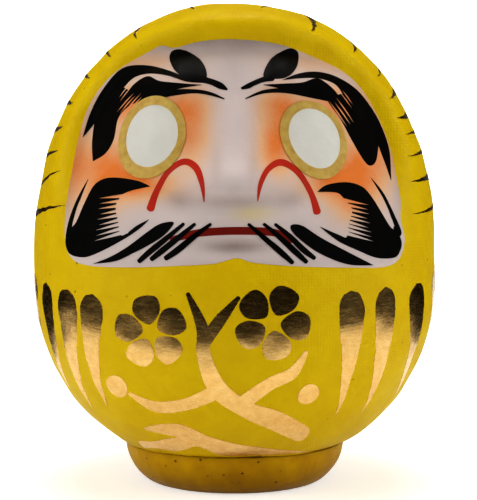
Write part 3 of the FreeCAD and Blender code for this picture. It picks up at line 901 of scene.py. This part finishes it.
def stroke_tree():
    """Lays a tapered brush mark at each point of (turn, rise), and presses it onto the skin."""
    tree = bpy.data.node_groups.new("brush_marks", "GeometryNodeTree")
    face = tree.interface
    face.new_socket("Geometry", in_out="INPUT", socket_type="NodeSocketGeometry")
    face.new_socket("Skin", in_out="INPUT", socket_type="NodeSocketObject")
    for name in ("Crest height in mm", "Crown dip in mm", "Tilt per mm", "Thickness in mm", "Edge wobble", "Seed"):
        face.new_socket(name, in_out="INPUT", socket_type="NodeSocketFloat")
    face.new_socket("Paint", in_out="INPUT", socket_type="NodeSocketMaterial")
    face.new_socket("Geometry", in_out="OUTPUT", socket_type="NodeSocketGeometry")
    given = add(tree, "NodeGroupInput").outputs

    # One mark: a unit slab, pointed at its foot, widest above its middle and blunt at its head.
    slab = add(tree, "GeometryNodeMeshCube", {"Size": (1, 1, 1), "Vertices X": 7, "Vertices Y": 40, "Vertices Z": 2})
    spot = add(tree, "ShaderNodeSeparateXYZ", {0: add(tree, "GeometryNodeInputPosition").outputs[0]}).outputs
    length = add(tree, "ShaderNodeMath", {0: spot["Y"], 1: 0.5}, operation="ADD").outputs[0]
    head = add(tree, "ShaderNodeMath", {0: length, 1: 0.8}, operation="SUBTRACT").outputs[0]
    head = add(tree, "ShaderNodeMath", {0: head, 1: 0.2}, operation="DIVIDE").outputs[0]
    head = add(tree, "ShaderNodeMath", {0: head, 1: 0.0}, operation="MAXIMUM").outputs[0]
    blunt = add(tree, "ShaderNodeMath", {0: head, 1: head}, operation="MULTIPLY").outputs[0]
    blunt = add(tree, "ShaderNodeMath", {0: 1.0, 1: blunt}, operation="SUBTRACT").outputs[0]
    blunt = add(tree, "ShaderNodeMath", {0: blunt, 1: 0.0}, operation="MAXIMUM").outputs[0]
    blunt = add(tree, "ShaderNodeMath", {0: blunt}, operation="SQRT").outputs[0]
    width = add(tree, "ShaderNodeMath", {0: length, 1: 0.0}, operation="MAXIMUM").outputs[0]
    width = add(tree, "ShaderNodeMath", {0: width, 1: 0.75}, operation="POWER").outputs[0]
    width = add(tree, "ShaderNodeMath", {0: width, 1: blunt}, operation="MULTIPLY").outputs[0]
    width = add(tree, "ShaderNodeMath", {0: width, 1: 0.03}, operation="MAXIMUM").outputs[0]
    across = add(tree, "ShaderNodeMath", {0: spot["X"], 1: width}, operation="MULTIPLY").outputs[0]
    shaped = add(tree, "ShaderNodeCombineXYZ", {0: across, 1: spot["Y"], 2: spot["Z"]})
    slab = add(tree, "GeometryNodeSetPosition", {"Geometry": slab.outputs["Mesh"], "Position": shaped.outputs[0]})
    # One slab to a point, with its own size and lean.
    named = {}
    for key in ("broad", "long", "lean"):
        named[key] = add(tree, "GeometryNodeInputNamedAttribute", {"Name": key}, data_type="FLOAT").outputs[0]
    marks = add(
        tree,
        "GeometryNodeInstanceOnPoints",
        {
            "Points": given["Geometry"],
            "Instance": slab.outputs[0],
            "Rotation": add(tree, "ShaderNodeCombineXYZ", {2: named["lean"]}).outputs[0],
            "Scale": add(tree, "ShaderNodeCombineXYZ", {0: named["broad"], 1: named["long"], 2: 1.0}).outputs[0],
        },
    )
    marks = add(tree, "GeometryNodeRealizeInstances", {"Geometry": marks.outputs[0]})
    # A shaky edge, then from (turn, rise) to a ray that looks in at the skin.
    spot = add(tree, "GeometryNodeInputPosition").outputs[0]
    shake = add(
        tree,
        "ShaderNodeTexNoise",
        {"Vector": spot, "W": given["Seed"], "Scale": 0.28, "Detail": 2.0},
        noise_dimensions="4D",
    )
    shake = add(tree, "ShaderNodeVectorMath", {0: shake.outputs["Color"], 1: (0.5, 0.5, 0.5)}, operation="SUBTRACT")
    shake = add(tree, "ShaderNodeVectorMath", {0: shake.outputs[0], "Scale": given["Edge wobble"]}, operation="SCALE")
    depth = add(tree, "ShaderNodeSeparateXYZ", {0: spot}).outputs["Z"]
    spot = add(tree, "ShaderNodeVectorMath", {0: spot, 1: shake.outputs[0]}, operation="ADD").outputs[0]
    spot = add(tree, "ShaderNodeSeparateXYZ", {0: spot}).outputs
    crest, dip = given["Crest height in mm"], given["Crown dip in mm"]
    turn = add(tree, "ShaderNodeMath", {0: spot["X"]}, operation="RADIANS").outputs[0]
    over = add(tree, "ShaderNodeMath", {0: spot["Y"], 1: crest}, operation="SUBTRACT").outputs[0]
    over = add(tree, "ShaderNodeMath", {0: over, 1: 0.0}, operation="MAXIMUM").outputs[0]
    tilt = add(tree, "ShaderNodeMath", {0: over, 1: given["Tilt per mm"]}, operation="MULTIPLY").outputs[0]
    tilt = add(tree, "ShaderNodeMath", {0: tilt}, operation="RADIANS").outputs[0]
    climb = add(tree, "ShaderNodeMath", {0: tilt}, operation="SINE").outputs[0]
    level = add(tree, "ShaderNodeMath", {0: tilt}, operation="COSINE").outputs[0]
    sunk = add(tree, "ShaderNodeMath", {0: climb, 1: dip}, operation="MULTIPLY").outputs[0]
    height = add(tree, "ShaderNodeMath", {0: spot["Y"], 1: crest}, operation="MINIMUM").outputs[0]
    height = add(tree, "ShaderNodeMath", {0: height, 1: sunk}, operation="SUBTRACT").outputs[0]
    height = add(tree, "ShaderNodeMath", {0: height, 1: MM}, operation="MULTIPLY").outputs[0]
    aside = add(tree, "ShaderNodeMath", {0: turn}, operation="SINE").outputs[0]
    aside = add(tree, "ShaderNodeMath", {0: aside, 1: level}, operation="MULTIPLY").outputs[0]
    forward = add(tree, "ShaderNodeMath", {0: level, 1: -1.0}, operation="MULTIPLY").outputs[0]
    facing = add(tree, "ShaderNodeMath", {0: turn}, operation="COSINE").outputs[0]
    forward = add(tree, "ShaderNodeMath", {0: facing, 1: forward}, operation="MULTIPLY").outputs[0]
    out = add(tree, "ShaderNodeCombineXYZ", {0: aside, 1: forward, 2: climb}).outputs[0]
    middle = add(tree, "ShaderNodeCombineXYZ", {2: height}).outputs[0]
    start = add(tree, "ShaderNodeVectorMath", {0: out, 1: (0.2, 0.2, 0.2), 2: middle}, operation="MULTIPLY_ADD")
    inward = add(tree, "ShaderNodeVectorMath", {0: out, "Scale": -1.0}, operation="SCALE")
    target = add(tree, "GeometryNodeObjectInfo", {"Object": given["Skin"]}).outputs["Geometry"]
    hit = add(
        tree,
        "GeometryNodeRaycast",
        {
            "Target Geometry": target,
            "Source Position": start.outputs[0],
            "Ray Direction": inward.outputs[0],
            "Ray Length": 0.3,
        },
    ).outputs
    lift = add(tree, "ShaderNodeMath", {0: depth, 1: given["Thickness in mm"]}, operation="MULTIPLY").outputs[0]
    lift = add(tree, "ShaderNodeMath", {0: lift, 1: 2 * MM}, operation="MULTIPLY").outputs[0]
    raised = add(tree, "ShaderNodeVectorMath", {0: hit["Hit Normal"], "Scale": lift}, operation="SCALE").outputs[0]
    placed = add(tree, "ShaderNodeVectorMath", {0: hit["Hit Position"], 1: raised}, operation="ADD").outputs[0]
    marks = add(tree, "GeometryNodeSetPosition", {"Geometry": marks.outputs[0], "Position": placed})
    rim = add(tree, "GeometryNodeInputMeshEdgeAngle").outputs["Unsigned Angle"]
    rim = add(tree, "FunctionNodeCompare", {0: rim, 1: 0.9}, operation="LESS_THAN").outputs[0]
    marks = add(tree, "GeometryNodeSetShadeSmooth", {"Geometry": marks.outputs[0], "Shade Smooth": rim}, domain="EDGE")
    marks = add(tree, "GeometryNodeRealizeInstances", {"Geometry": marks.outputs[0]})
    marks = add(tree, "GeometryNodeSetMaterial", {"Geometry": marks.outputs[0], "Material": given["Paint"]})
    add(tree, "NodeGroupOutput", {0: marks.outputs[0]})
    return tree


def brush_marks(name, marks, wobble, seed):
    """One mark for each (turn, rise, breadth, length, lean); lean turns its head towards -turn, in degrees."""
    mesh = bpy.data.meshes.new(name)
    mesh.from_pydata([(m[0], m[1], 0) for m in marks], [], [])
    for key, column in (("broad", 2), ("long", 3), ("lean", 4)):
        values = [math.radians(m[column]) if key == "lean" else m[column] for m in marks]
        mesh.attributes.new(key, "FLOAT", "POINT").data.foreach_set("value", values)
    made = new_object(name, mesh)
    laid = made.modifiers.new("laid", "NODES")
    laid.node_group = MARKS
    settings = {
        "Skin": skin,
        "Crest height in mm": CREST_Z,
        "Crown dip in mm": CROWN_DIP,
        "Tilt per mm": TILT_PER_MM,
        "Thickness in mm": 0.07,
        "Edge wobble": wobble,
        "Seed": seed,
        "Paint": GOLD,
    }
    for item in MARKS.interface.items_tree:
        if item.in_out == "INPUT" and item.name in settings:
            laid[item.identifier] = settings[item.name]
    return settled(made)


MARKS = stroke_tree()
SIDE_STROKES = [
    (-65.0, 42.8, 9.5, 29, -6), (-54.0, 40.0, 10.5, 33, -11), (-43.8, 40.2, 9.8, 31, -12),
    (33.8, 40.2, 9.2, 33.5, 7), (46.0, 40.2, 9.6, 34, 8), (62.5, 41.8, 11.0, 32, 14), (80, 45.5, 11.5, 30, 10),
    (-79, 45.0, 10.5, 28, -8), (-93, 47.5, 9.5, 25, -6), (96, 48, 9.5, 25, 6),
]  # fmt: skip
brush_marks("side_strokes", SIDE_STROKES, 1.3, 3.0)

# Pleat marks that run back from the hood's edge: each from its fine tip to its blunt end, as (turn, rise, turn, rise).
HOOD_PLEATS = [
    (-55, 78, -82, 75.2), (-59, 87.2, -77, 83.6), (-63, 92.6, -80, 91.4), (-65, 99, -82, 98.4),
    (-65, 105.4, -84, 106.4),
    (-61, 112, -84, 114.4), (-54, 117.4, -80, 121.6), (-43, 122, -70, 129), (-22, 128, -52, 136),
    (58, 75.6, 88, 78), (59, 84.3, 86, 86), (60, 91, 80, 92.8), (62, 97, 88, 98.8), (61, 101.2, 80, 102.8),
    (61, 106.6, 80, 110), (60, 112.4, 82, 117), (52, 118.6, 76, 124.4), (33, 123.6, 60, 130), (14, 128, 44, 136.5),
]  # fmt: skip
pleats = [
    (
        (a + c) / 2,
        (b + d) / 2,
        1.7 + 0.5 * math.sin(2.7 * a),
        math.hypot(c - a, d - b),
        math.degrees(math.atan2(a - c, d - b)),
    )
    for a, b, c, d in HOOD_PLEATS
]
brush_marks("hood_pleats", pleats, 0.9, 7.0)

# ---------------------------------------------------------------------------------------------------------
# The pieces inside and underneath, which keep their CAD shapes
# ---------------------------------------------------------------------------------------------------------

for node, stuff in (("seam_strips", KRAFT), ("clay_weight", CLAY), ("glue_bead", GLUE), ("base_paper", PAPER)):
    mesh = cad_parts[node].data
    mesh.materials.clear()
    mesh.materials.append(stuff)

bpy.data.objects.remove(skin)

own = set(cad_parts.values())
for piece in [o for o in bpy.context.scene.objects if o.type == "MESH" and o not in own]:
    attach(piece, "root")
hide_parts("front_shell")
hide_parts("back_shell")
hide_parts("foot_dish")

# ---------------------------------------------------------------------------------------------------------
# Stage, light and camera
# ---------------------------------------------------------------------------------------------------------


def stage_sheet(name, corners, near, far):
    """A flat white sheet of the studio, kept white to the eye and in the gold by a glow that doesn't light the doll.

    The glow is near at the doll and far behind it.
    """
    mesh = bpy.data.meshes.new(name)
    mesh.from_pydata(corners, [], [list(range(len(corners)))])
    made, tree, place = material(name + "_paper")
    away = add(tree, "ShaderNodeSeparateXYZ", {0: place}).outputs["Y"]
    glow = add(
        tree, "ShaderNodeMapRange", {"Value": away, "From Min": -0.05, "From Max": 0.3, "To Min": near, "To Max": far}
    )
    spread = add(tree, "ShaderNodeLightPath").outputs["Is Diffuse Ray"]
    looked_at = add(tree, "ShaderNodeMath", {0: 1.0, 1: spread}, operation="SUBTRACT").outputs[0]
    glow = add(tree, "ShaderNodeMath", {0: glow.outputs["Result"], 1: looked_at}, operation="MULTIPLY").outputs[0]
    shader = add(
        tree,
        "ShaderNodeBsdfPrincipled",
        {
            "Base Color": colour("#F4F4F4"),
            "Roughness": 0.9,
            "Emission Color": colour("#FFFFFF"),
            "Emission Strength": glow,
        },
    )
    finish(made, tree, shader)
    sheet = new_object(name, mesh, made)
    return sheet


stage_sheet("floor", [(-3, -3, 0), (3, -3, 0), (3, 3, 0), (-3, 3, 0)], 0.34, 0.9)
backdrop = stage_sheet("backdrop", [(-3, 1.6, 0), (3, 1.6, 0), (3, 1.6, 3), (-3, 1.6, 3)], 1.0, 1.0)
backdrop.visible_diffuse = False
backdrop.visible_glossy = False


def black_flag(half_turn, across, deep, tall):
    """A black card bent round the front, as gold is shot. It darkens what the gold mirrors, and shades no lamp."""
    steps = [math.radians(half_turn * (k / 12 - 1)) for k in range(25)]
    mesh = bpy.data.meshes.new("black_flag")
    line = [(across * math.sin(a), -deep * math.cos(a)) for a in steps]
    corners = [(x, y, 0) for x, y in line] + [(x, y, tall) for x, y in line]
    mesh.from_pydata(corners, [], [(i, i + 1, i + 26, i + 25) for i in range(24)])
    made, tree, _ = material("black_felt")
    finish(made, tree, add(tree, "ShaderNodeBsdfPrincipled", {"Base Color": colour("#080808"), "Roughness": 1.0}))
    card = new_object("black_flag", mesh, made)
    card.visible_camera = False
    card.visible_shadow = False
    card.visible_diffuse = False


black_flag(145, 0.19, 0.12, 0.4)


def softbox(name, place, size, power, aim=(0, 0, 0.07)):
    lamp = bpy.data.lights.new(name, "AREA")
    lamp.shape = "RECTANGLE"
    lamp.size, lamp.size_y = size
    lamp.energy = power
    made = bpy.data.objects.new(name, lamp)
    made.location = place
    made.rotation_euler = (Vector(aim) - Vector(place)).to_track_quat("-Z", "Y").to_euler()
    bpy.context.collection.objects.link(made)


softbox("left_softbox", (-0.66, -0.28, 0.34), (0.5, 0.6), 2.1)
softbox("right_softbox", (0.68, -0.26, 0.34), (0.5, 0.6), 2.1)
softbox("top_softbox", (0.0, 0.02, 0.8), (0.5, 0.5), 2.2)
softbox("front_softbox", (-0.12, -0.8, 0.5), (0.5, 0.4), 0.1)

world = bpy.data.worlds.new("studio_air")
world.use_nodes = True
air = world.node_tree
air.nodes.clear()
seen = add(air, "ShaderNodeLightPath").outputs["Is Camera Ray"]
light = add(air, "ShaderNodeBackground", {"Color": colour("#F2F3F5"), "Strength": 0.08}).outputs[0]
white = add(air, "ShaderNodeBackground", {"Color": colour("#FFFFFF"), "Strength": 1.0}).outputs[0]
both = add(air, "ShaderNodeMixShader", {0: seen, 1: light, 2: white}).outputs[0]
add(air, "ShaderNodeOutputWorld", {"Surface": both})
bpy.context.scene.world = world
bpy.context.scene.view_settings.view_transform = "Standard"
bpy.context.scene.view_settings.look = "High Contrast"

lens = bpy.data.cameras.new("camera")
lens.lens = 101
lens.sensor_width = 36
lens.clip_start = 0.01
camera = bpy.data.objects.new("camera", lens)
camera.location = (0.001, -0.4, 0.0838)
camera.rotation_euler = (math.radians(90 - 2.72), 0, 0)
bpy.context.collection.objects.link(camera)
bpy.context.scene.camera = camera
